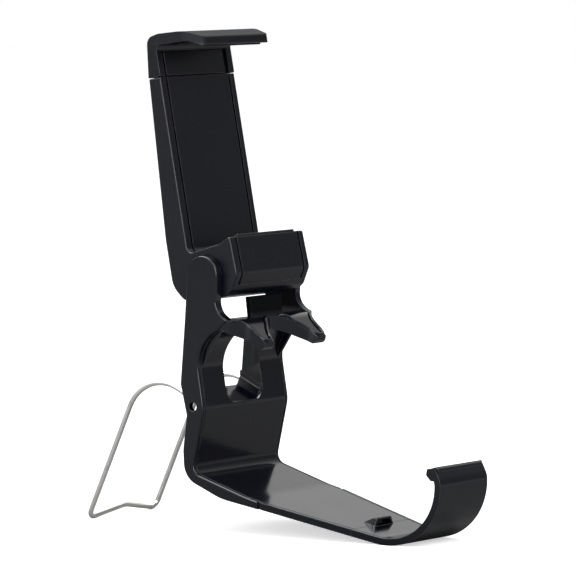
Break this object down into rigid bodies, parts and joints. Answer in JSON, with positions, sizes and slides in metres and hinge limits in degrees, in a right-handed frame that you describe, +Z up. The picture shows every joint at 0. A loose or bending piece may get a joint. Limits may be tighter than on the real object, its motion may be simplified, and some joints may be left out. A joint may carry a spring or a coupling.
{
  "type": "controller phone clip",
  "caption": "Bracket that clips over a game controller and holds a phone above it in a sprung, tilting clamp, with a fold-out wire stand behind.",
  "frame": {"origin": "centre of the footprint, on the table", "axes": "+X across the width, +Y from the hook back to the wire stand, +Z up"},
  "size_m": [0.041, 0.1226, 0.1431],
  "materials": {
    "bracket": "glossy black moulding",
    "clamp": "satin black moulding",
    "cover": "satin black moulding",
    "liner": "matt black soft liner",
    "wire": "drawn stainless wire",
    "steel": "plated steel",
    "washer": "nylon"
  },
  "bodies": {
    "base": {"base_bracket": "bracket", "hinge_screw": "steel", "hinge_nut": "steel"},
    "stand": {"wire_stand": "wire"},
    "clamp": {"clamp_body": "clamp", "front_cover": "cover", "cover_screws": "steel", "lower_jaw_pad": "liner", "friction_washer_left": "washer", "friction_washer_right": "washer", "jaw_spring_left": "steel", "jaw_spring_right": "steel"},
    "jaw": {"upper_jaw": "clamp", "upper_jaw_plate": "cover", "upper_jaw_pad": "liner"}
  },
  "joints": [
    {"name": "stand_fold", "type": "hinge", "parent": "base", "child": "stand", "pos_m": [0, 0.01871, 0.03599], "axis": [1, 0, 0], "range_deg": [-98, 0]},
    {"name": "clamp_tilt", "type": "hinge", "parent": "base", "child": "clamp", "pos_m": [0, 0.01511, 0.07399], "axis": [1, 0, 0], "range_deg": [-65, 15]},
    {"name": "jaw_slide", "type": "slide", "parent": "clamp", "child": "jaw", "axis": [0, 0.1908, 0.9816], "range_m": [0, 0.022], "deforming": ["jaw_spring_left", "jaw_spring_right"]}
  ]
}
